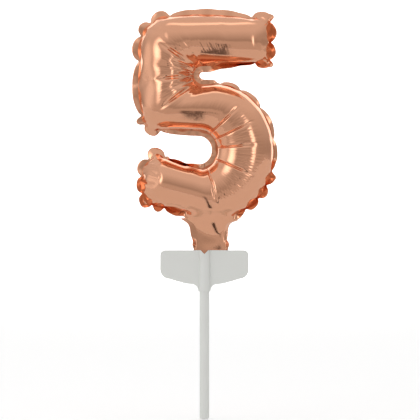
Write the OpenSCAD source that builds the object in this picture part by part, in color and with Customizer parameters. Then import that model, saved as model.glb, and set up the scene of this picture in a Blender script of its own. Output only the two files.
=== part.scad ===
// Foil number balloon, the numeral 5, on a plastic stick with a winged holder.
// Millimetres, +Z up. The origin is the centre of the stick's lower end, and the balloon faces -Y.

/* [Stick] */
// Outside diameter of the stick
stick_d = 5; // [4.8:0.1:5.2]
// Bore of the hollow stick
stick_bore_d = 3.5; // [3:0.1:3.6]
// Length of stick that shows below the holder
stick_free_l = 66; // [50:1:90]
// Diameter of the spigot at the top of the stick, which plugs into the holder
spigot_d = 4.6; // [4.5:0.1:4.6]
// Length of the spigot
spigot_l = 12; // [10:0.5:12]

/* [Holder] */
// Width across the two wings
holder_w = 46; // [42:1:50]
// Height from the end of the sleeve to the top edge
holder_h = 21.4; // [21:0.1:23]
// Thickness of one shell of the holder
shell_t = 1; // [0.9:0.05:1.2]
// Radial clearance between the spigot and its socket
socket_gap = 0.05; // [0.03:0.01:0.08]
// Outside diameter of the sleeve and of the rib above it
sleeve_d = 6.2; // [6:0.1:6.6]
// Depth of the notch in the top edge
notch_depth = 2; // [1:0.1:2.5]

/* [Balloon] */
// Height of the inflated numeral between its outer seams
numeral_h = 104; // [95:1:115]
// Width of the sealed rim outside the seam
rim_w = 3; // [2:0.1:3.5]
// Largest depth of the numeral from front to back
numeral_depth = 26; // [20:1:28]
// Thickness of one foil sheet
foil_t = 0.15; // [0.12:0.01:0.2]
// Width of the neck between its seams
neck_w = 15; // [13:0.5:16]

/* [Hidden] */
$fn = 64;
eps = 0.01;

// Heights up the stick
sleeve_z = stick_free_l;
spigot_top_z = sleeve_z + spigot_l;
holder_top_z = sleeve_z + holder_h;
tail_z = spigot_top_z + 1;

// Holder
wing_h = 18;
wing_arc_r = 55;
wing_top_r = 2.5;
wing_low_r = 5;
flare_r = 3;
flare_edge = 0.4;
flare_top = 0.6;
socket_d = spigot_d + 2 * socket_gap;
peg_d = 1.4;
peg_l = 0.6;
peg_gap = 0.05;
pegs = [[-16, -11], [16, -11], [-16, -4], [16, -4]];
notch_w = 4;

// Tail and the tape that holds it, as layers either side of the middle plane
tail_x = 2;
tail_w = neck_w + 2 * rim_w;
tape_t = 0.15;
tape_w = 5;
tape_h = 6;
tape_x = 7.1;
pocket_y = foil_t + tape_t;
pocket_gap = 0.5;

// Neck: it starts just above the holder's top edge, where the foil bends
bend_gap = 0.8;
neck_z = holder_top_z + bend_gap;
neck_end_h = 0.9;
neck_full_h = 7;
neck_flare = 4;
neck_l = 17;
neck_in_bowl = 12;
valve_w = 8;
valve_t = 0.1;
valve_l = 36;

// Numeral: its two seam lines are laid out for a height of 104 and scaled to numeral_h
layout_h = 104;
numeral_scale = numeral_h / layout_h;
numeral_z = holder_top_z + neck_l;
half_depth = numeral_depth / 2;
end_round = 12;
section_step = 20;

function lerp(a, b, t) = a + (b - a) * t;
function line(p, q, n) = [for (i = [0:n - 1]) lerp(p, q, i / n)];
function arc(c, rx, rz, a, b, n) =
    [for (i = [0:n - 1]) let (t = lerp(a, b, i / n)) [c[0] + rx * cos(t), c[1] + rz * sin(t)]];
// The end of a stroke has its stations closer together, where the foil closes to the end seam
function end_line(p, q, n) = [for (i = [0:n - 1]) lerp(p, q, pow(i / n, 2))];
function end_line_back(p, q, n) = [for (i = [0:n]) lerp(p, q, 1 - pow(1 - i / n, 2))];

// Seam that runs under the top bar, round the upper gap and along the outside of the bowl
seam_a = concat(
    end_line([33, 80.5], [-1, 80.3], 10),
    arc([-1, 74.3], 6, 6, 90, 270, 14),
    line([-1, 68.3], [5, 69], 4),
    arc([5, 34.4], 30, 34.6, 90, -90, 18),
    end_line_back([5, -0.2], [-32.5, 8.5], 10)
);
// Seam that runs over the top bar, down the left side and round the lower gap
seam_b = concat(
    end_line([33.5, 103.5], [-19.5, 105], 10),
    arc([-19.5, 91], 14, 14, 90, 180, 5),
    line([-33.5, 91], [-32, 54], 5),
    arc([-25, 53], 7, 7, 180, 270, 4),
    line([-25, 46], [-3, 45], 4),
    arc([-3, 35], 9.5, 10, 90, -90, 18),
    end_line_back([-3, 25], [-27.5, 32.5], 10)
);
seam_n = len(seam_a);

function place(p) = [p[0] * numeral_scale, p[1] * numeral_scale + numeral_z];
function half_width(i) = norm(place(seam_a[i]) - place(seam_b[i])) / 2;
// Distance of a station from the nearer end of the stroke, along the middle line
function middle(i) = (place(seam_a[i]) + place(seam_b[i])) / 2;
function end_distance(i) = min(norm(middle(i) - middle(0)), norm(middle(i) - middle(seam_n - 1)));
function end_share(i) = let (d = min(end_distance(i) / end_round, 1)) sqrt(1 - pow(1 - d, 2));
function numeral_half_depth(i) = min(half_width(i), half_depth) * end_share(i);

// A station is [middle, half width, half depth, direction across]
function station(a, b, h) = [(a + b) / 2, norm(a - b) / 2, h, (a - b) / norm(a - b)];
// The rim's end: a station moved along the stroke, with no depth
function flattened(s, along) = [s[0] + along, s[1], 0, s[3]];
function unit(v) = v / norm(v);
numeral_seam = [for (i = [0:seam_n - 1])
    station(place(seam_a[i]), place(seam_b[i]), numeral_half_depth(i))];
start_way = unit(middle(0) - middle(1));
end_way = unit(middle(seam_n - 1) - middle(seam_n - 2));
numeral_outer = concat(
    [flattened(numeral_seam[0], start_way * rim_w)],
    numeral_seam,
    [flattened(numeral_seam[seam_n - 1], end_way * rim_w)]
);
numeral_inner = [for (i = [1:seam_n - 2]) numeral_seam[i]];

// The neck narrows and flattens downwards; t is 0 at the holder and 1 inside the bowl
neck_rows = [0, 0.15, 0.35, 0.55, 0.75, 1];
neck_top_z = numeral_z + neck_in_bowl;
function neck_station(t) =
    let (
        half = neck_w / 2 + neck_flare * pow(t, 3),
        z = lerp(neck_z, neck_top_z, t),
        h = lerp(neck_end_h, neck_full_h, sin(90 * t))
    )
    station([tail_x - half, z], [tail_x + half, z], h);
// The same station moved along the stroke, with its depth kept
function shifted(s, along) = [s[0] + along, s[1], s[2], s[3]];
neck_outer = [for (t = neck_rows) neck_station(t)];
neck_inner = concat([shifted(neck_outer[0], [0, -1])], neck_outer);

// Outline of one station across the stroke: [distance across, depth], from a half ellipse with a flat rim
function dome(half, depth, base) =
    [for (a = [0:section_step:180]) [-half * cos(a), base + depth * sin(a)]];
function outer_section(s) = concat(
    [[-s[1] - rim_w, 0], [-s[1] - rim_w, foil_t]],
    dome(s[1], s[2], foil_t),
    [[s[1] + rim_w, foil_t], [s[1] + rim_w, 0]]
);
function inner_section(s) = concat(
    [[-s[1] + foil_t, -1]],
    dome(s[1] - foil_t, s[2], 0),
    [[s[1] - foil_t, -1]]
);
// A point of a station's outline in space; side is -1 for the front sheet and 1 for the back one
function in_space(s, p, side) = let (xz = s[0] + s[3] * p[0]) [xz[0], side * p[1], xz[1]];

// A solid through the same outline at every station, closed at both ends
module loft(stations, sections, side) {
    count = len(sections[0]);
    last = len(stations) - 1;
    points = [for (i = [0:last]) for (p = sections[i]) in_space(stations[i], p, side)];
    sides = [for (i = [0:last - 1]) for (j = [0:count - 1])
        let (k = (j + 1) % count, a = i * count)
        each [[a + j, a + k, a + count + k], [a + j, a + count + k, a + count + j]]];
    start_cap = [[for (j = [count - 1:-1:0]) j]];
    end_cap = [[for (j = [0:count - 1]) last * count + j]];
    faces = concat(sides, start_cap, end_cap);
    flipped = [for (f = faces) [for (j = [len(f) - 1:-1:0]) f[j]]];
    polyhedron(points, side < 0 ? faces : flipped, convexity = 8);
}

// One sheet of the balloon: the formed foil and its flat rim, open inside from the neck to the numeral
module foil_sheet(side) {
    difference() {
        union() {
            loft(numeral_outer, [for (s = numeral_outer) outer_section(s)], side);
            loft(neck_outer, [for (s = neck_outer) outer_section(s)], side);
        }
        loft(numeral_inner, [for (s = numeral_inner) inner_section(s)], side);
        loft(neck_inner, [for (s = neck_inner) inner_section(s)], side);
    }
}

module front_foil() {
    color("rosybrown") foil_sheet(-1);
}

module back_foil() {
    color("rosybrown") foil_sheet(1);
}

// A flat layer on one side of the middle plane, from depth near to depth far
module layer(x, z, w, h, near, far, side) {
    y = side < 0 ? -far : near;
    translate([x - w / 2, y, z]) cube([w, far - near, h]);
}

// The end of one foil sheet, flat in the holder's pocket
module foil_tail(side) {
    layer(tail_x, tail_z, tail_w, holder_top_z - tail_z, 0, foil_t, side);
}

module tail_front() {
    color("rosybrown") foil_tail(-1);
}

module tail_back() {
    color("rosybrown") foil_tail(1);
}

// Double-sided tape: one strip on each side of the channel, between the tail and the shell
module tape_pair(side) {
    for (x = [tail_x - tape_x, tail_x + tape_x])
        layer(x, tail_z + 1, tape_w, tape_h, foil_t, pocket_y, side);
}

module tape_front() {
    color("ivory") tape_pair(-1);
}

module tape_back() {
    color("ivory") tape_pair(1);
}

// One film of the flat valve, from the neck up into the bowl
module valve_film(side) {
    layer(tail_x, neck_z + 1, valve_w, valve_l, 0, valve_t, side);
}

module valve_film_front() {
    color("gainsboro") valve_film(-1);
}

module valve_film_back() {
    color("gainsboro") valve_film(1);
}

// Hollow stick with a rounded foot and a spigot that stops against its shoulder
module stick() {
    foot_r = 0.4;
    spigot_r = spigot_d / 2;
    color("gainsboro") difference() {
        rotate_extrude() polygon(concat(
            [[0, 0]],
            [for (a = [-90:15:0]) [stick_d / 2 - foot_r + foot_r * cos(a), foot_r + foot_r * sin(a)]],
            [[stick_d / 2, stick_free_l], [spigot_r, stick_free_l]],
            [[spigot_r, spigot_top_z - foot_r], [spigot_r - foot_r, spigot_top_z], [0, spigot_top_z]]
        ));
        translate([0, 0, -1]) cylinder(d = stick_bore_d, h = spigot_top_z + 2);
    }
}

// Outline of the wings, with its top edge on the X axis
function wing_bottom(x) = -wing_h + wing_arc_r - sqrt(pow(wing_arc_r, 2) - pow(x, 2));
function corner(c, r, a, b) = [for (i = [0:6]) c + r * [cos(lerp(a, b, i / 6)), sin(lerp(a, b, i / 6))]];
module wings() {
    half = holder_w / 2;
    low_x = half - wing_low_r;
    low_z = wing_bottom(low_x) + wing_low_r;
    right = concat(
        [for (i = [0:8]) [low_x * i / 8, wing_bottom(low_x * i / 8)]],
        corner([low_x, low_z], wing_low_r, asin(low_x / wing_arc_r) - 90, 0),
        corner([half - wing_top_r, -wing_top_r], wing_top_r, 0, 90)
    );
    left = [for (i = [len(right) - 1:-1:1]) [-right[i][0], right[i][1]]];
    polygon(concat(right, left));
}

// The web that carries the wings down to the sleeve, with hollow round sides
module flare() {
    low = -holder_h;
    high = -wing_h + 1;
    foot = sleeve_d / 2;
    spread = flare_r + flare_edge;
    difference() {
        translate([-foot - spread, low]) square([2 * (foot + spread), high - low]);
        for (side = [-1, 1])
            translate([side * (foot + spread), low]) ellipse(spread, high - low - flare_top);
    }
}

module ellipse(rx, rz) {
    polygon([for (a = [0:11.25:348.75]) [rx * cos(a), rz * sin(a)]]);
}

// One shell, on the +Y side: a flat plate with wings, and half of the sleeve and rib
module shell_half() {
    translate([0, 0, holder_top_z]) rotate([90, 0, 0]) translate([0, 0, -shell_t])
        linear_extrude(shell_t) {
            wings();
            flare();
        }
    intersection() {
        translate([0, 0, sleeve_z]) cylinder(d = sleeve_d, h = holder_h);
        translate([-sleeve_d, 0, sleeve_z]) cube([2 * sleeve_d, sleeve_d, holder_h]);
    }
}

// The room inside a shell: socket, pocket for the tail, and the notch in the top edge
module shell_room() {
    translate([0, 0, sleeve_z - 1]) cylinder(d = socket_d, h = holder_h + 2);
    pocket_w = tail_w + 2 * pocket_gap;
    translate([tail_x - pocket_w / 2, -1, tail_z - pocket_gap])
        cube([pocket_w, pocket_y + 1, holder_h]);
    translate([0, sleeve_d, holder_top_z + eps]) rotate([90, 0, 0]) linear_extrude(2 * sleeve_d)
        polygon([[-notch_w / 2, 0], [0, -notch_depth], [notch_w / 2, 0]]);
}

module peg_row(d, l) {
    for (p = pegs)
        translate([p[0], 0, holder_top_z + p[1]]) rotate([90, 0, 0]) cylinder(d = d, h = l);
}

// The back shell carries the locating pegs, and the front shell their blind holes
module holder_back() {
    color("whitesmoke") {
        difference() {
            shell_half();
            shell_room();
        }
        peg_row(peg_d, peg_l);
    }
}

module holder_front() {
    color("whitesmoke") difference() {
        mirror([0, 1, 0]) difference() {
            shell_half();
            shell_room();
        }
        translate([0, eps, 0]) peg_row(peg_d + 2 * peg_gap, peg_l + peg_gap + eps);
    }
}

stick();
holder_front();
holder_back();
tail_front();
tail_back();
tape_front();
tape_back();
front_foil();
back_foil();
valve_film_front();
valve_film_back();
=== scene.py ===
import math

import bmesh
import bpy
from mathutils import Matrix, Vector


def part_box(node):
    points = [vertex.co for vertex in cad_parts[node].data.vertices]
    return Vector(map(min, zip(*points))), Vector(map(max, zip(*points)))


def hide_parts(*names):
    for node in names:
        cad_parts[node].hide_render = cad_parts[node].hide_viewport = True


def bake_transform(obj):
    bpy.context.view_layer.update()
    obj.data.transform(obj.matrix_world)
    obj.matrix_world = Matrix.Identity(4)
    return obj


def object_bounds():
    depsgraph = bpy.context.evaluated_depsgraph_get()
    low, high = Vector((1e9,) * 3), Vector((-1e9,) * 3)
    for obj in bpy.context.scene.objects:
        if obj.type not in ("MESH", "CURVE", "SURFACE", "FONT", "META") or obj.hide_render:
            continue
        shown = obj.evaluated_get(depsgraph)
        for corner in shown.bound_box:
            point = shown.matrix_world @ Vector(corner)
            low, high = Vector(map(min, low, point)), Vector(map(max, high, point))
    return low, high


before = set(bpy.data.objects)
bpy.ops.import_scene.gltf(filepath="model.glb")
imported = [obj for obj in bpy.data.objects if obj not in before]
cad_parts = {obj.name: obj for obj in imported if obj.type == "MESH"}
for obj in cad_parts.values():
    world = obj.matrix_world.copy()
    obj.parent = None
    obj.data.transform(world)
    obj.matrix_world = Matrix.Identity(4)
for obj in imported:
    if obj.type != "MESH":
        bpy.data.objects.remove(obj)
cad_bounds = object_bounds()
scene = bpy.context.scene

# Camera: level with the middle of the balloon on its stick, straight in front of the numeral,
# far back with a long lens.
camera_data = bpy.data.cameras.new("camera")
camera = bpy.data.objects.new("camera", camera_data)
scene.collection.objects.link(camera)
scene.camera = camera
camera_distance = 1.6
camera_side = 0.0029
camera_height = 0.1083
view_width = 0.2184
camera_data.sensor_width = 36
camera_data.lens = 36 * camera_distance / view_width
camera_data.clip_end = 100
camera.location = (camera_side, -camera_distance, camera_height)
camera.rotation_euler = (math.pi / 2, 0, 0)

# Studio: a pale floor under the stick and a white sweep behind it, lit from the left front, the left,
# the right front and overhead. The foil is a mirror, so what it sees is set apart: a bright table top
# that ends a quarter of a metre in front, a dark tripod with one foot on it, and a mid grey room.
scene.view_settings.view_transform = "Standard"
room = bpy.data.worlds.new("room")
scene.world = room
room.use_nodes = True
sky, sky_links = room.node_tree.nodes, room.node_tree.links
direction = sky.new("ShaderNodeTexCoord")
upward = sky.new("ShaderNodeSeparateXYZ")
sky_links.new(direction.outputs["Generated"], upward.inputs["Vector"])
height = sky.new("ShaderNodeMapRange")
height.inputs["From Min"].default_value = -1
sky_links.new(upward.outputs["Z"], height.inputs["Value"])
wall = sky.new("ShaderNodeValToRGB")
wall.color_ramp.elements[0].position = 0.44
wall.color_ramp.elements[0].color = (0.6, 0.58, 0.56, 1)
wall.color_ramp.elements.new(0.5).color = (0.42, 0.4, 0.38, 1)
wall.color_ramp.elements[2].position = 0.85
wall.color_ramp.elements[2].color = (0.77, 0.77, 0.77, 1)
sky_links.new(height.outputs["Result"], wall.inputs["Fac"])
sky_links.new(wall.outputs["Color"], sky["Background"].inputs["Color"])


def studio_material(name, colour, glow):
    made = bpy.data.materials.new(name)
    made.use_nodes = True
    shader = made.node_tree.nodes["Principled BSDF"]
    shader.inputs["Base Color"].default_value = colour
    shader.inputs["Roughness"].default_value = 0.9
    shader.inputs["Emission Color"].default_value = (1, 1, 1, 1)
    shader.inputs["Emission Strength"].default_value = glow
    return made


def studio_plane(name, wide, deep, place, turn, material):
    flat = bmesh.new()
    bmesh.ops.create_grid(flat, x_segments=1, y_segments=1, size=0.5)
    bmesh.ops.scale(flat, vec=(wide, deep, 1), verts=flat.verts)
    stood = Matrix.Translation(place) @ Matrix.Rotation(turn, 4, "X")
    bmesh.ops.transform(flat, matrix=stood, verts=flat.verts)
    mesh = bpy.data.meshes.new(name)
    flat.to_mesh(mesh)
    flat.free()
    mesh.materials.append(material)
    made = bpy.data.objects.new(name, mesh)
    scene.collection.objects.link(made)
    return made


def only_in_reflections(card):
    card.visible_camera = False
    card.visible_diffuse = False
    card.visible_shadow = False


just_under = 0.0004
floor_z = cad_bounds[0].z - just_under
pale = studio_material("pale_floor", (0.85, 0.85, 0.85, 1), 0.1)
floor = studio_plane("floor", 6, 6, Vector((0, 0, floor_z)), 0, pale)
floor.visible_glossy = False
white = studio_material("white_sweep", (0.95, 0.95, 0.95, 1), 1)
studio_plane("sweep", 8, 8, Vector((0, 3, 0)), math.pi / 2, white)
bright_top = studio_material("table_seen_in_foil", (0.7, 0.7, 0.7, 1), 0.2)
only_in_reflections(studio_plane("table_top", 3, 3, Vector((0, 1.26, floor_z - 0.001)), 0, bright_top))
dark = studio_material("tripod_seen_in_foil", (0.05, 0.035, 0.03, 1), 0)
only_in_reflections(studio_plane("tripod", 0.075, 1.2, Vector((0.011, -1, -0.75)), math.pi / 2, dark))
only_in_reflections(studio_plane("tripod_foot", 0.019, 0.19, Vector((0.003, -0.155, floor_z)), 0, dark))


def soft_box(name, place, width, height, power, seen):
    """A light, and the card that the foil sees in its place: bright in the middle, fading to nothing."""
    light = bpy.data.lights.new(name, "AREA")
    light.shape = "RECTANGLE"
    light.size = width
    light.size_y = height
    light.energy = power
    lamp = bpy.data.objects.new(name, light)
    scene.collection.objects.link(lamp)
    lamp.location = place
    lamp.rotation_euler = (Vector((0, 0, 0.15)) - Vector(place)).to_track_quat("-Z", "Y").to_euler()
    lamp.visible_glossy = False
    glow = studio_material(name + "_glow", (0, 0, 0, 1), seen)
    nodes, links = glow.node_tree.nodes, glow.node_tree.links
    where = nodes.new("ShaderNodeTexCoord")
    across = nodes.new("ShaderNodeMapping")
    across.inputs["Scale"].default_value = (2 / width, 2 / height, 1)
    round_fade = nodes.new("ShaderNodeTexGradient")
    round_fade.gradient_type = "SPHERICAL"
    fade = nodes.new("ShaderNodeValToRGB")
    fade.color_ramp.interpolation = "EASE"
    fade.color_ramp.elements[1].position = 0.9
    links.new(where.outputs["Object"], across.inputs["Vector"])
    links.new(across.outputs["Vector"], round_fade.inputs["Vector"])
    links.new(round_fade.outputs["Fac"], fade.inputs["Fac"])
    links.new(fade.outputs["Color"], glow.node_tree.nodes["Principled BSDF"].inputs["Alpha"])
    card = studio_plane(name + "_card", width, height, Vector((0, 0, 0)), 0, glow)
    card.location = lamp.location
    card.rotation_euler = lamp.rotation_euler
    only_in_reflections(card)


soft_box("left_soft_box", (-0.8, -0.8, 0.4), 0.9, 1.3, 2.9, 2.2)
soft_box("left_wall", (-1.3, -0.1, 0.3), 1.8, 1.5, 1.9, 0.95)
soft_box("right_soft_box", (0.6, -0.9, 0.25), 0.4, 1.1, 1.3, 2.1)
soft_box("top_soft_box", (0, -0.1, 1.1), 1.3, 0.34, 0.9, 1.5)


# Stick and holder: white plastic with a satin surface, moulded for the holder and drawn as a tube for
# the stick. The colour is a little uneven and the surface has a fine grain, as on all the plastic here.
grain_look = bpy.data.node_groups.new("fine_grain", "ShaderNodeTree")
for label, way, kind in (("Colour", "INPUT", "NodeSocketColor"), ("Roughness", "INPUT", "NodeSocketFloat"),
                         ("Grain", "INPUT", "NodeSocketFloat"), ("Colour", "OUTPUT", "NodeSocketColor"),
                         ("Roughness", "OUTPUT", "NodeSocketFloat"), ("Height", "OUTPUT", "NodeSocketFloat")):
    grain_look.interface.new_socket(label, in_out=way, socket_type=kind)
nodes, links = grain_look.nodes, grain_look.links
given = nodes.new("NodeGroupInput")
result = nodes.new("NodeGroupOutput")
place = nodes.new("ShaderNodeTexCoord")
clouds = nodes.new("ShaderNodeTexNoise")
clouds.inputs["Scale"].default_value = 60
clouds.inputs["Detail"].default_value = 3
links.new(place.outputs["Object"], clouds.inputs["Vector"])
darker = nodes.new("ShaderNodeMapRange")
darker.inputs["To Min"].default_value = 0.97
links.new(clouds.outputs["Fac"], darker.inputs["Value"])
uneven_colour = nodes.new("ShaderNodeVectorMath")
uneven_colour.operation = "SCALE"
links.new(given.outputs["Colour"], uneven_colour.inputs[0])
links.new(darker.outputs["Result"], uneven_colour.inputs["Scale"])
links.new(uneven_colour.outputs["Vector"], result.inputs["Colour"])
fine = nodes.new("ShaderNodeTexNoise")
links.new(place.outputs["Object"], fine.inputs["Vector"])
links.new(given.outputs["Grain"], fine.inputs["Scale"])
duller = nodes.new("ShaderNodeMapRange")
duller.inputs["To Min"].default_value = -0.05
duller.inputs["To Max"].default_value = 0.05
links.new(fine.outputs["Fac"], duller.inputs["Value"])
uneven_sheen = nodes.new("ShaderNodeMath")
links.new(given.outputs["Roughness"], uneven_sheen.inputs[0])
links.new(duller.outputs["Result"], uneven_sheen.inputs[1])
links.new(uneven_sheen.outputs["Value"], result.inputs["Roughness"])
links.new(fine.outputs["Fac"], result.inputs["Height"])


def plastic(name, colour, roughness, grain):
    """A plastic of one colour with the fine grain; grain is how many grains there are in a metre."""
    made = bpy.data.materials.new(name)
    made.use_nodes = True
    nodes, links = made.node_tree.nodes, made.node_tree.links
    shader = nodes["Principled BSDF"]
    look = nodes.new("ShaderNodeGroup")
    look.node_tree = grain_look
    look.inputs["Colour"].default_value = tuple(colour) + (1,)
    look.inputs["Roughness"].default_value = roughness
    look.inputs["Grain"].default_value = grain
    bump = nodes.new("ShaderNodeBump")
    bump.inputs["Strength"].default_value = 0.06
    bump.inputs["Distance"].default_value = 0.0001
    links.new(look.outputs["Colour"], shader.inputs["Base Color"])
    links.new(look.outputs["Roughness"], shader.inputs["Roughness"])
    links.new(look.outputs["Height"], bump.inputs["Height"])
    links.new(bump.outputs["Normal"], shader.inputs["Normal"])
    return made


white_plastic = plastic("white_plastic_moulded", (0.655, 0.665, 0.64), 0.58, 2500)
for name in ("stick", "holder_front", "holder_back"):
    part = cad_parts[name]
    part.data.materials.clear()
    part.data.materials.append(white_plastic)
for name in ("holder_front", "holder_back"):
    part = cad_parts[name]
    weld = part.modifiers.new("weld", "WELD")
    weld.merge_threshold = 0.00001
    edge = part.modifiers.new("round_edges", "BEVEL")
    edge.width = 0.0003
    edge.segments = 3
    edge.limit_method = "ANGLE"
    edge.angle_limit = math.radians(50)

# Tape and valve: short strips of double-sided tape hold the foil in the holder, and two thin clear
# films inside the neck make the valve that closes by itself.
tape = plastic("tape_cream", (0.78, 0.74, 0.62), 0.5, 1800)
film = plastic("valve_clear_film", (0.8, 0.82, 0.82), 0.2, 900)
film.node_tree.nodes["Principled BSDF"].inputs["Transmission Weight"].default_value = 0.6
for name, material in (("tape_front", tape), ("tape_back", tape),
                       ("valve_film_front", film), ("valve_film_back", film)):
    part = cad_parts[name]
    part.data.materials.clear()
    part.data.materials.append(material)

# Foil: two sheets of metallised film, cut to the numeral, welded together along the seam with a rim left
# outside it, and blown up. A grid that follows the stroke is domed to the width of the cut film, then air
# is let in while the seam gathers into its round lobes.
mm = 0.001
workshop = 20.0
holder_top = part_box("holder_front")[1].z
neck_long = 17
numeral_low = holder_top + neck_long * mm
cell = 1.2
rim_cells = 3
rim_wide = 3.3
rim_waver = 0.13
gap_rim = 2.7
columns = 30
deepest = 12.2
top_end_round = 8.5
bowl_end_round = 10.5


def lerp(p, q, share):
    return (p[0] + (q[0] - p[0]) * share, p[1] + (q[1] - p[1]) * share)


def line(p, q, steps):
    return [lerp(p, q, i / steps) for i in range(steps)]


def arc(centre, wide, tall, start, end, steps):
    turns = [math.radians(start + (end - start) * i / steps) for i in range(steps)]
    return [(centre[0] + wide * math.cos(t), centre[1] + tall * math.sin(t)) for t in turns]


# The two seams along the stroke, from the end of the top bar to the end of the bowl, in mm from the
# lowest point of the numeral. A station is the number of the same point on both.
upper_seam = (line((33.3, 80.5), (-1, 80.3), 10) + arc((-1, 74.3), 6, 6, 90, 270, 14)
              + line((-1, 68.3), (5, 69.2), 4) + arc((5, 34.4), 31, 35, 90, -90, 18)
              + line((5, -0.6), (-30.5, 8), 10) + [(-30.5, 8)])
lower_seam = (line((33.7, 103), (-17, 104.5), 10) + arc((-17, 88), 16.5, 16.5, 90, 180, 5)
              + line((-33.5, 88), (-32.5, 54), 5) + arc((-25, 53), 7, 7, 180, 270, 4)
              + line((-25, 46), (-3, 45), 4) + arc((-3, 35), 9.5, 10, 90, -90, 18)
              + line((-3, 25), (-26, 32.5), 10) + [(-26, 32.5)])

stations = []
for i in range(len(upper_seam) - 1):
    long_way = max(math.dist(upper_seam[i], upper_seam[i + 1]), math.dist(lower_seam[i], lower_seam[i + 1]))
    steps = max(1, round(long_way * 1.15 / cell))
    stations += [i + k / steps for k in range(steps)]
stations.append(len(upper_seam) - 1.0)
rows = len(stations) - 1


def rail(points):
    places = []
    for s in stations:
        i = min(int(s), len(points) - 2)
        places.append(Vector(lerp(points[i], points[i + 1], s - i)))
    for _ in range(8):
        inside = [(places[i - 1] + 2 * places[i] + places[i + 1]) / 4 for i in range(1, len(places) - 1)]
        places = [places[0]] + inside + [places[-1]]
    return places


upper, lower = rail(upper_seam), rail(lower_seam)


def row_at(station):
    return min(range(rows + 1), key=lambda r: abs(stations[r] - station))


# The seam as one loop: along the upper seam, across the end of the bowl, back along the lower seam and
# across the end of the top bar. Each point has its length along the loop, in mm.
loop = ([(r, 0) for r in range(rows + 1)] + [(rows, c) for c in range(1, columns)]
        + [(r, columns) for r in range(rows, -1, -1)] + [(0, c) for c in range(columns - 1, 0, -1)])


# How far the ends of the top bar and of the bowl bow outwards, in mm, and over how many rows.
end_curves = ((0, 0.8), (rows, 4.0))
bowed_rows = 10


def on_plan(row, share):
    """A place on the numeral's plan, at a share of the way across; the stroke's two ends are rounded."""
    place = upper[row].lerp(lower[row], share)
    for end, bow in end_curves:
        near = 1 - abs(row - end) / bowed_rows
        if near > 0:
            inward = 1 if end == 0 else -1
            way = (upper[end] + lower[end] - upper[end + 3 * inward] - lower[end + 3 * inward]).normalized()
            place = place + way * bow * near ** 2 * math.sin(math.pi * share)
    return place


def seam_at(row, column):
    return on_plan(row, column / columns)


def seam_place(k):
    return seam_at(*loop[k % len(loop)])


loop_way = [0.0]
for k in range(1, len(loop) + 1):
    step = seam_place(k) - seam_place(k - 1)
    loop_way.append(loop_way[-1] + step.length)
number_on_loop = {place: k for k, place in enumerate(loop)}

# Where the seam gathers, it has a sharp notch with a round lobe on each side. Round the numeral's two
# gaps it doesn't gather: that stretch is longer than any lobe, and its rim narrows to the notch at each
# end.
gap_seam_long = 60
narrowing = 14
notches = [(row_at(s), 0) for s in (2.1, 28.6, 30.7, 33, 36, 38.6, 40, 41.4, 42.7, 50.2, 53.2, 55)]
notches += [(rows, round(columns * share)) for share in (0.18, 0.5, 0.87)]
notches += [(row_at(s), columns) for s in (53.8, 24.4, 21.8, 20, 16, 13.8, 12.2, 10.2, 1.8)]
notches += [(0, round(columns * share)) for share in (0.93, 0.46, 0.08)]
notch_way = sorted(loop_way[number_on_loop[n]] for n in notches)
round_loop = loop_way[-1]


def lobe(row, column):
    """Width of the rim and how far the seam stands out here, in mm."""
    way = loop_way[number_on_loop[(row, column)]]
    after = min((n for n in notch_way if n > way), default=notch_way[0] + round_loop)
    before = max((n for n in notch_way if n <= way), default=notch_way[-1] - round_loop)
    if after - before > gap_seam_long:
        to_notch = min(way - before, after - way, narrowing) / narrowing
        return gap_rim * (0.3 + 0.7 * math.sqrt(math.sin(math.pi / 2 * to_notch))), 0
    swell = math.sqrt(math.sin(math.pi * (way - before) / (after - before)))
    on_bowl = 28 < stations[row] < 39 and column == 0
    height = 0.7 if on_bowl else 1.6 if after - before < 20 else 2.2
    return rim_wide * (0.6 if on_bowl else 1) * (0.3 + 0.7 * swell), height * (swell - 0.3)


# Where the stroke bends round a gap the film has too much length, and folds in along sharp creases that
# run out from the gap; a short one runs in from each notch. A dip is a share of the film's height.
dips = {}


def crease(row, column, row_step, column_step, long, dip):
    for k in range(long):
        r = row + k * row_step
        for near, weight in ((math.floor(r), 1 - r % 1), (math.floor(r) + 1, r % 1)):
            place = (near, column + k * column_step)
            if weight > 0:
                dips[place] = max(dips.get(place, 0), weight * dip * (1 - (k / long) ** 2))


bend_above = [(row_at(s), long, dip) for s, long, dip in (
    (10.6, 9, 0.14), (13.3, 20, 0.26), (16.2, 15, 0.16), (17.6, 21, 0.22), (21, 20, 0.26))]
bend_below = [(row_at(s), long, dip) for s, long, dip in (
    (31.6, 20, 0.24), (33.9, 21, 0.22), (36.4, 19, 0.2), (39.7, 21, 0.22))]
for row, long, dip in bend_above:
    crease(row, 0, 0, 1, long, dip)
for row, long, dip in bend_below:
    crease(row, columns, 0, -1, long, dip)
crease(row_at(43), columns, 0.6, -1, 20, 0.24)
crease(row_at(10.2), columns, 1, -1, 13, 0.14)
crease(row_at(21.8), columns, 0, -1, 12, 0.14)
for row, column in notches:
    if row in (0, rows):
        crease(row, column, 1 if row == 0 else -1, 0, 7, 0.22)
    else:
        crease(row, column, 0, 1 if column == 0 else -1, 5, 0.16)


def fold(row, column):
    """Share of the film's height that a crease takes away, or the swelling beside one adds."""
    if (row, column) in dips:
        return -dips[(row, column)]
    for bend, across in ((bend_above, column / columns), (bend_below, 1 - column / columns)):
        if bend[0][0] <= row <= bend[-1][0]:
            near = min(abs(row - r) for r, long, dip in bend)
            return 0.045 * min(near / 3, 1) * max(0, 1 - across / 0.65)
    return 0


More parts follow.
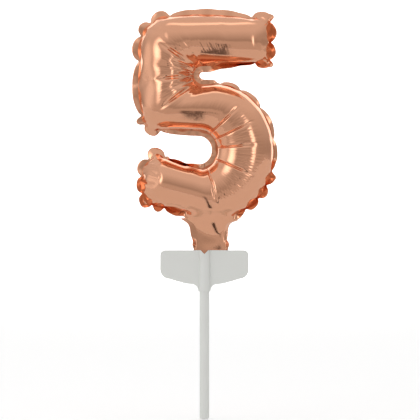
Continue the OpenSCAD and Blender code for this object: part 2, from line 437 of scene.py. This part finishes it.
def dome(row, column):
    gap = (upper[row] - lower[row]).length
    to_end = min(loop_way[row] / top_end_round, (loop_way[rows] - loop_way[row]) / bowl_end_round, 1)
    uneven = 1 + 0.006 * math.sin(stations[row] * 1.3 + 2 * column / columns)
    uneven += 0.012 * math.sin(stations[row] * 0.55)
    closing = math.sqrt(1 - (1 - to_end) ** 2)
    return min(gap / 2, deepest) * uneven * math.sin(math.pi * column / columns) * closing


# The neck runs on from the bowl's lower edge, rounds in to its own width and ends between the two
# halves of the holder. Its left rim lies flat and its right rim is turned back, and low down both turn
# forwards.
neck_middle, neck_half = 3.3, 7.6
neck_round = 5.0
tail_low = -24.5
tail_held = -16
neck_rows = 20
neck_rim_mark = 50
neck_flat = 0.1
neck_bulge = 0.6
mouth_bulge = 5.5
foot_notch = -12
foot_low = -16


def neck_height(across, z):
    """Height of the film at a place across the neck, from -1 to 1, and down it; it leans to the right."""
    down = min(1, max(0, -z / neck_long))
    leaning = min(1, down / 0.1)
    from_left = (across + 1) / 2
    shape = (1 - leaning) * math.sin(math.pi * from_left) + leaning * 1.5 * from_left * (1 - from_left ** 12)
    high = neck_bulge * (1 - down ** 4) + (mouth_bulge - neck_bulge) * (1 - down) ** 4
    return neck_flat + high * shape


in_neck = [r for r in range(rows // 2, rows + 1)
           if abs(upper[r].x - neck_middle) < neck_half + neck_round and upper[r].y < 12]
first_mouth, last_mouth = in_neck[0], in_neck[-1]


def over_neck(row):
    return 1 - 2 * (row - first_mouth) / (last_mouth - first_mouth)


def tilt(place, out, station, column):
    """How far the rim is turned out of the seam's plane, in radians; forwards is above zero."""
    if column == 0 and 2 < station < 28:
        return 0.05 + 1.05 * min(1, max(0, (10 - station) / 4))
    if column == columns and 25 < station < 53:
        return 0.05 + 1.05 * min(1, max(0, (station - 45) / 4))
    if place.y < 21 and out.y < 0.5:
        return 0.85
    if out.x > 0.5:
        return 0.95 if place.y > 75 and abs(out.y) < 0.2 else 0.6 if out.y < -0.1 else -0.4
    if out.x < -0.8:
        return -0.12
    return -0.35 if out.y > -0.5 or place.x < -18 else 0.85


def outwards(row, column, past_end, past_side):
    """The way out of the numeral from a place on the seam, past the end of the stroke or its side."""
    along = seam_at(min(row + 1, rows), column) - seam_at(max(row - 1, 0), column)
    across = seam_at(row, min(column + 1, columns)) - seam_at(row, max(column - 1, 0))
    from_side = Vector((along.y, -along.x)).normalized()
    other = seam_at(row, 0 if column > columns / 2 else columns)
    if from_side.dot(seam_at(row, column) - other) < 0:
        from_side = -from_side
    from_end = Vector((across.y, -across.x)).normalized()
    if from_end.dot(seam_at(row, column) - seam_at(min(max(row, 3), rows - 3), column)) < 0:
        from_end = -from_end
    on_side, on_end = column in (0, columns), row in (0, rows)
    if not on_end:
        return from_side
    if not on_side:
        return from_end
    return (from_side * max(past_side, 0.01) + from_end * max(past_end, 0.01)).normalized()


sheet = bmesh.new()
row_of = sheet.verts.layers.int.new("row")
column_of = sheet.verts.layers.int.new("column")
neck_no = sheet.verts.layers.int.new("neck")
welded = sheet.verts.layers.int.new("welded")
final_place = sheet.verts.layers.float_vector.new("final_place")
bmesh.ops.create_grid(sheet, x_segments=rows + 2 * rim_cells, y_segments=columns + 2 * rim_cells, size=1)
for v in sheet.verts:
    row = round((v.co.x + 1) / 2 * (rows + 2 * rim_cells)) - rim_cells
    column = round((v.co.y + 1) / 2 * (columns + 2 * rim_cells)) - rim_cells
    r, c = min(max(row, 0), rows), min(max(column, 0), columns)
    in_mouth = c == 0 and column <= 0 and first_mouth < r < last_mouth
    edge = (r, c) in number_on_loop
    if not edge:
        plain = on_plan(r, (1 - math.cos(math.pi * c / columns)) / 2)
        height = dome(r, c) * (1 + fold(r, c))
        if first_mouth < r < last_mouth:
            height = (height ** 3 + neck_height(over_neck(r), plain.y) ** 3) ** (1 / 3)
        v.co = (plain.x, -height, plain.y)
        v[final_place] = v.co
    else:
        plain = seam_place(number_on_loop[(r, c)])
        out = outwards(r, c, abs(row - r), abs(column - c))
        wide, stands_out = lobe(r, c)
        beyond = max(abs(row - r), abs(column - c)) / rim_cells
        start = plain + out * rim_wide * beyond
        if in_mouth:
            v.co = (start.x, -neck_height(over_neck(r), start.y), start.y)
            v[final_place] = v.co
        else:
            from_mouth = min(abs(r - first_mouth), abs(r - last_mouth), 4) / 4 if c == 0 else 1
            wide = rim_wide + (wide - rim_wide) * from_mouth
            waver = rim_waver * math.sin(loop_way[number_on_loop[(r, c)]] * 0.55)
            turned = (tilt(plain, out, stations[r], c) + waver) * from_mouth
            place = plain + out * (stands_out * from_mouth + wide * beyond * math.cos(turned))
            v.co = (start.x, 0, start.y)
            v[final_place] = (place.x, -wide * beyond * math.sin(turned), place.y)
    v[row_of], v[column_of] = row, column
    v[welded] = int(edge and not in_mouth)

mouth = [e for e in sheet.edges if e.is_boundary and all(
    v[column_of] == -rim_cells and first_mouth <= v[row_of] <= last_mouth for v in e.verts)]
rim_top = {v[row_of]: v.co.copy() for e in mouth for v in e.verts}
edges = mouth
for k in range(1, neck_rows + 1):
    grown = bmesh.ops.extrude_edge_only(sheet, edges=edges)["geom"]
    edges = [g for g in grown if isinstance(g, bmesh.types.BMEdge)]
    for v in (g for g in grown if isinstance(g, bmesh.types.BMVert)):
        here = rim_top[v[row_of]]
        share = k / neck_rows
        over = over_neck(v[row_of])
        z = here.z + (tail_low - here.z) * share
        left = max(0, 1 - (rim_top[first_mouth].z - z) / neck_round)
        flare = neck_round * (1 - math.sqrt(1 - left ** 2)) if left < 1 else neck_round
        x = neck_middle + over * (neck_half + flare)
        v.co = (x, -neck_height(over, z), z)
        v[final_place] = v.co
        v[neck_no] = k
        v[welded] = int(abs(over) == 1)
for side_row, way in ((first_mouth, 1), (last_mouth, -1)):
    edges = [e for e in sheet.edges if e.is_boundary and all(
        v[row_of] == side_row and v[column_of] == -rim_cells for v in e.verts)]
    for k in range(1, rim_cells + 1):
        grown = bmesh.ops.extrude_edge_only(sheet, edges=edges)["geom"]
        edges = [g for g in grown if isinstance(g, bmesh.types.BMEdge)
                 and len({v[neck_no] for v in g.verts}) == 2]
        for v in (g for g in grown if isinstance(g, bmesh.types.BMVert)):
            lobe_low, lobe_high = (foot_low, foot_notch) if v.co.z < foot_notch else (foot_notch, 2)
            share = min(1, max(0, (v.co.z - lobe_low) / (lobe_high - lobe_low)))
            wide = rim_wide / rim_cells * (0.4 + 0.6 * math.sqrt(math.sin(math.pi * share)))
            turned = (0.1 if way < 0 else -1.1) if v.co.z > foot_notch else 0.9 if v.co.z > foot_low else 0
            v.co.x += way * wide * math.cos(turned)
            v.co.y -= wide * math.sin(turned)
            v[final_place] = v.co
            v[column_of] = -rim_cells - neck_rim_mark * k

# The seam and the rim outside it are one layer, welded; everything inside them is two sheets.
sheet.normal_update()
if sum(f.normal.y for f in sheet.faces) > 0:
    bmesh.ops.reverse_faces(sheet, faces=sheet.faces)
copy = bmesh.ops.duplicate(sheet, geom=sheet.verts[:] + sheet.edges[:] + sheet.faces[:])
twin = {v: w for v, w in copy["vert_map"].items() if isinstance(v, bmesh.types.BMVert)}
copies = {g for g in copy["geom"] if isinstance(g, bmesh.types.BMVert)}
back_faces = [g for g in copy["geom"] if isinstance(g, bmesh.types.BMFace)]
bmesh.ops.reverse_faces(sheet, faces=back_faces)
back_set = set(back_faces)
for f in sheet.faces:
    f.material_index = 2 if all(v[welded] for v in f.verts) else int(f in back_set)
bmesh.ops.delete(sheet, geom=[f for f in back_faces if f.material_index == 2], context="FACES")
copies = {w for w in copies if w.is_valid}
pairs = {}
for v, w in twin.items():
    front_one, back_one = (v, w) if w in copies else (w, v)
    if not (front_one.is_valid and back_one.is_valid):
        continue
    if front_one[welded]:
        pairs[back_one] = front_one
    else:
        back_one.co.y = -front_one.co.y
        there = Vector(front_one[final_place])
        back_one[final_place] = (there.x, -there.y, there.z)
bmesh.ops.weld_verts(sheet, targetmap=pairs)
sharp = sheet.edges.layers.float.new("crease_edge")
for e in sheet.edges:
    on_seam = all((v[row_of], v[column_of]) in number_on_loop and v[welded] for v in e.verts)
    if on_seam and len(e.link_faces) > 2:
        e[sharp] = 1
        e.smooth = False

# Held while the air comes in: the seam with its rim, the tail in the holder, and the creases.
held, airy, places = [], [], []
sheet.verts.ensure_lookup_table()
for v in sheet.verts:
    if v[welded] or v[neck_no] and v.co.z < tail_held or (v[row_of], v[column_of]) in dips:
        held.append(v.index)
    if not (v[neck_no] or v[welded]):
        airy.append(v.index)
    places.append(Vector(v[final_place]))
mesh = bpy.data.meshes.new("blown_foil")
sheet.to_mesh(mesh)
sheet.free()
mesh.transform(Matrix.Scale(workshop * mm, 4))
blown = bpy.data.objects.new("blown_foil", mesh)
scene.collection.objects.link(blown)
blown.shape_key_add(name="domed")
gathered = blown.shape_key_add(name="gathered")
for i, place in enumerate(places):
    gathered.data[i].co = place * workshop * mm
gathered_by = 12
gathered.value = 0
gathered.keyframe_insert("value", frame=1)
gathered.value = 1
gathered.keyframe_insert("value", frame=gathered_by)
hold = blown.vertex_groups.new(name="held")
hold.add(held, 1, "REPLACE")
air = blown.vertex_groups.new(name="air")
air.add(airy, 1, "REPLACE")
cloth = blown.modifiers.new("air_in", "CLOTH")
cloth.settings.quality = 8
cloth.settings.mass = 0.3
cloth.settings.air_damping = 1
cloth.settings.tension_stiffness = 60
cloth.settings.compression_stiffness = 20
cloth.settings.shear_stiffness = 20
cloth.settings.bending_stiffness = 0.5
cloth.settings.tension_damping = 5
cloth.settings.compression_damping = 5
cloth.settings.shear_damping = 5
cloth.settings.use_pressure = True
cloth.settings.uniform_pressure_force = 20
cloth.settings.vertex_group_pressure = "air"
cloth.settings.vertex_group_mass = "held"
cloth.settings.effector_weights.gravity = 0
cloth.collision_settings.use_collision = False
frames = 26
cloth.point_cache.frame_end = frames
for f in range(1, frames + 1):
    scene.frame_set(f)
done = bpy.data.meshes.new_from_object(blown.evaluated_get(bpy.context.evaluated_depsgraph_get()))
bpy.data.objects.remove(blown)
scene.frame_set(1)
done.transform(Matrix.Translation((0, 0, numeral_low)) @ Matrix.Scale(1 / workshop, 4))

# The film is smoothed over where the bowl runs into the neck and, before the bowl, between the creases.
# The top bar thins towards its end. Beside the creases the film that is left over takes up in a comb of
# fine ripples, a row apart.
ripples = bmesh.new()
ripples.from_mesh(done)
ripples.normal_update()
row_of = ripples.verts.layers.int["row"]
column_of = ripples.verts.layers.int["column"]
neck_no = ripples.verts.layers.int["neck"]
welded = ripples.verts.layers.int["welded"]
near_mouth = [v for v in ripples.verts if not v[welded] and first_mouth < v[row_of] < last_mouth
              and v[column_of] < 8 and v[neck_no] < 5]
between_creases = [v for v in ripples.verts if not v[welded] and 0 < v[row_of] < rows
                   and 0 < v[column_of] < columns and stations[v[row_of]] < 31
                   and (v[row_of], v[column_of]) not in dips]
for film_part, rounds in ((between_creases, 4), (near_mouth, 45)):
    for _ in range(rounds):
        bmesh.ops.smooth_vert(ripples, verts=film_part, factor=0.5,
                              use_axis_x=True, use_axis_y=True, use_axis_z=True)
combs = ((5, 23.5, 0, 0.46, 0.1, 0.15), (24, 31, 1, 0.55, 0.06, 0.2), (31, 46, 1, 0.54, 0.12, 0.24))
for v in ripples.verts:
    row, column = v[row_of], v[column_of]
    if not (0 < row < rows and 0 < column < columns):
        continue
    v.co.y *= 1 - 0.016 * max(0, 10 - stations[row])
    for first, last, from_lower, middle, spread, high in combs:
        if first < stations[row] < last:
            across = 1 - column / columns if from_lower else column / columns
            uneven = 0.6 + 0.4 * math.sin(row * 1.7) * math.sin(row * 0.53 + 1)
            along = math.sqrt(math.sin(math.pi * (stations[row] - first) / (last - first)))
            strength = math.exp(-((across - middle) / spread) ** 2) * uneven * along
            v.co += v.normal * high * mm * strength * (1 if row % 2 else -1)
ripples.to_mesh(done)
ripples.free()

# The film's finish: a rose gold mirror, with the faint unevenness of thin film pulled tight.
foil = bpy.data.materials.new("rose_gold_film")
foil.use_nodes = True
nodes, links = foil.node_tree.nodes, foil.node_tree.links
shader = nodes["Principled BSDF"]
shader.inputs["Metallic"].default_value = 1
place = nodes.new("ShaderNodeTexCoord")
cloud = nodes.new("ShaderNodeTexNoise")
cloud.inputs["Scale"].default_value = 45
cloud.inputs["Detail"].default_value = 4
links.new(place.outputs["Object"], cloud.inputs["Vector"])
tone = nodes.new("ShaderNodeValToRGB")
tone.color_ramp.elements[0].color = (0.80, 0.395, 0.24, 1)
tone.color_ramp.elements[1].color = (0.86, 0.445, 0.285, 1)
links.new(cloud.outputs["Fac"], tone.inputs["Fac"])
links.new(tone.outputs["Color"], shader.inputs["Base Color"])
rough = nodes.new("ShaderNodeMapRange")
rough.inputs["To Min"].default_value = 0.09
rough.inputs["To Max"].default_value = 0.15
links.new(cloud.outputs["Fac"], rough.inputs["Value"])
links.new(rough.outputs["Result"], shader.inputs["Roughness"])
ripple = nodes.new("ShaderNodeTexNoise")
ripple.inputs["Scale"].default_value = 420
ripple.inputs["Detail"].default_value = 2
links.new(place.outputs["Object"], ripple.inputs["Vector"])
bump = nodes.new("ShaderNodeBump")
bump.inputs["Strength"].default_value = 0.05
bump.inputs["Distance"].default_value = 0.0005
links.new(ripple.outputs["Fac"], bump.inputs["Height"])
links.new(bump.outputs["Normal"], shader.inputs["Normal"])

for name, other, tail in (("front_sheet", 1, "tail_front"), ("back_sheet", 0, "tail_back")):
    side = bmesh.new()
    side.from_mesh(done)
    bmesh.ops.delete(side, geom=[f for f in side.faces if f.material_index == other], context="FACES")
    if other == 0:
        bmesh.ops.reverse_faces(side, faces=[f for f in side.faces if f.material_index == 2])
    for f in side.faces:
        f.smooth = True
        f.material_index = 0
    mesh = bpy.data.meshes.new(name)
    side.to_mesh(mesh)
    side.free()
    mesh.materials.clear()
    mesh.materials.append(foil)
    piece = bpy.data.objects.new(name, mesh)
    scene.collection.objects.link(piece)
    smooth = piece.modifiers.new("smooth", "SUBSURF")
    smooth.levels = 1
    smooth.render_levels = 1
    wall = piece.modifiers.new("film", "SOLIDIFY")
    wall.thickness = 0.00008
    wall.offset = 1
    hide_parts("front_foil" if other else "back_foil", tail)
    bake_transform(piece)
